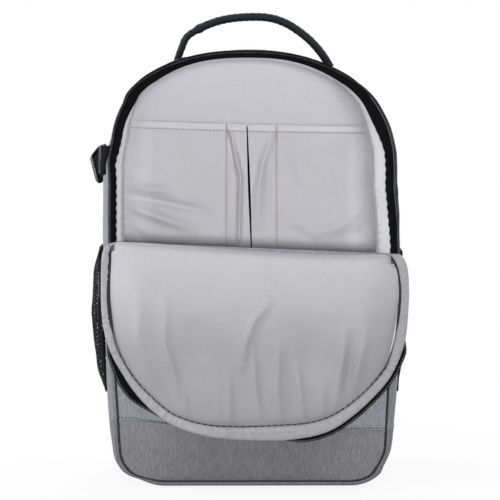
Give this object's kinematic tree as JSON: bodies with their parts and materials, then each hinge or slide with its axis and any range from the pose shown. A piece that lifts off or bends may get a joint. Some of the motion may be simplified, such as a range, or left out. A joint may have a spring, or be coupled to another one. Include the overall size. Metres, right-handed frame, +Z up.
{
  "type": "camera backpack",
  "caption": "Camera backpack with a domed front flap that folds down over two soft hinge lines, inner slip pockets, padded dividers, grab handle and shoulder straps.",
  "frame": {"origin": "on the floor under the middle of the bag's base", "axes": "+Z up, +X to the right seen from the front, -Y the front with the flap, +Y the back panel and shoulder straps"},
  "size_m": [0.3199, 0.2211, 0.4902],
  "materials": {
    "heather_fabric": "woven two-tone polyester",
    "base_fabric": "coated woven polyester",
    "back_fabric": "plain woven polyester",
    "air_mesh": "spacer mesh over foam",
    "lining": "fine twill nylon, soft sheen",
    "binding": "gathered twill tape",
    "foam": "closed-cell foam",
    "board": "extruded polyethylene sheet",
    "zip_tape": "woven polyester tape",
    "zip_coil": "nylon coil",
    "zip_metal": "blackened zinc",
    "piping": "bound cord",
    "stretch_mesh": "knitted stretch mesh",
    "webbing": "woven nylon webbing",
    "buckle_plastic": "moulded acetal",
    "handle_wrap": "wrapped woven fabric"
  },
  "bodies": {
    "root": {"gusset_shell": "heather_fabric", "base_shell": "base_fabric", "front_base_panel": "heather_fabric", "front_upper_panel": "heather_fabric", "front_piping": "piping", "back_panel": "back_fabric", "stiffener_board": "board", "back_lining": "lining", "wall_lining": "lining", "front_lining": "lining", "floor_pad": "lining", "slip_pocket_left": "lining", "slip_pocket_right": "lining", "pen_pocket_left": "lining", "pen_pocket_right": "lining", "mouth_zip_tape": "zip_tape", "mouth_zip_coil": "zip_coil", "fold_hem": "lining", "handle_tab_left": "webbing", "handle_tab_right": "webbing", "side_pocket_left": "stretch_mesh", "side_pocket_right": "stretch_mesh", "pocket_elastic_left": "webbing", "pocket_elastic_right": "webbing", "strap_front_left": "webbing", "strap_rear_left": "webbing", "buckle_socket_left": "buckle_plastic", "side_loop_right": "webbing", "back_pad_left": "air_mesh", "back_pad_right": "air_mesh", "lumbar_pad": "air_mesh", "strap_yoke": "base_fabric", "lower_webbing_left": "webbing", "lower_webbing_right": "webbing", "lower_anchor_left": "webbing", "lower_anchor_right": "webbing"},
    "fold": {"fold_strip": "lining"},
    "flap": {"flap_lining": "lining", "flap_foam": "foam", "flap_outer_panel": "heather_fabric", "flap_binding": "binding", "flap_zip_tape": "zip_tape", "flap_zip_coil": "zip_coil"},
    "handle": {"grab_handle": "handle_wrap"},
    "slider_left": {"zip_slider_left": "zip_metal"},
    "slider_right": {"zip_slider_right": "zip_metal"},
    "pull_left": {"zip_pull_left": "zip_metal"},
    "pull_right": {"zip_pull_right": "zip_metal"},
    "buckle_plug": {"buckle_plug_left": "buckle_plastic"},
    "strap_left": {"shoulder_strap_left": "air_mesh", "ladder_lock_left": "buckle_plastic"},
    "strap_right": {"shoulder_strap_right": "air_mesh", "ladder_lock_right": "buckle_plastic"},
    "divider_left_body": {"divider_left": "lining"},
    "divider_right_body": {"divider_right": "lining"},
    "divider_cross_body": {"divider_cross": "lining"}
  },
  "joints": [
    {"name": "fold_hinge", "type": "hinge", "parent": "root", "child": "fold", "pos_m": [0, -0.0805, 0.233], "axis": [-1, 0, 0], "range_deg": [0, 90]},
    {"name": "flap_hinge", "type": "hinge", "parent": "fold", "child": "flap", "pos_m": [0, -0.0905, 0.233], "axis": [-1, 0, 0], "range_deg": [0, 90]},
    {"name": "handle_swing", "type": "hinge", "parent": "root", "child": "handle", "pos_m": [0, 0.034, 0.44116], "axis": [1, 0, 0], "range_deg": [-50, 50]},
    {"name": "slider_left_run", "type": "slide", "parent": "root", "child": "slider_left", "axis": [0, 0, 1], "range_m": [0, 0.06]},
    {"name": "slider_right_run", "type": "slide", "parent": "root", "child": "slider_right", "axis": [0, 0, 1], "range_m": [0, 0.06]},
    {"name": "pull_left_swing", "type": "hinge", "parent": "slider_left", "child": "pull_left", "pos_m": [-0.15165, -0.07725, 0.21775], "axis": [0, 1, 0], "range_deg": [0, 100]},
    {"name": "pull_right_swing", "type": "hinge", "parent": "slider_right", "child": "pull_right", "pos_m": [0.15165, -0.07725, 0.21775], "axis": [0, -1, 0], "range_deg": [0, 100]},
    {"name": "buckle_release", "type": "slide", "parent": "root", "child": "buckle_plug", "axis": [0, -1, 0], "range_m": [0, 0.022]},
    {"name": "strap_left_swing", "type": "hinge", "parent": "root", "child": "strap_left", "pos_m": [-0.052, 0.0851, 0.385], "axis": [1, 0, 0], "range_deg": [0, 18], "deforming": ["lower_webbing_left"]},
    {"name": "strap_right_swing", "type": "hinge", "parent": "root", "child": "strap_right", "pos_m": [0.052, 0.0851, 0.385], "axis": [1, 0, 0], "range_deg": [0, 18], "deforming": ["lower_webbing_right"]},
    {"name": "divider_left_lift", "type": "slide", "parent": "root", "child": "divider_left_body", "axis": [0, 0, 1], "range_m": [0, 0.2]},
    {"name": "divider_right_lift", "type": "slide", "parent": "root", "child": "divider_right_body", "axis": [0, 0, 1], "range_m": [0, 0.2]},
    {"name": "divider_cross_lift", "type": "slide", "parent": "root", "child": "divider_cross_body", "axis": [0, 0, 1], "range_m": [0, 0.2]}
  ],
  "couplings": [
    {"joint": "flap_hinge", "follows": "fold_hinge", "ratio": 1}
  ]
}
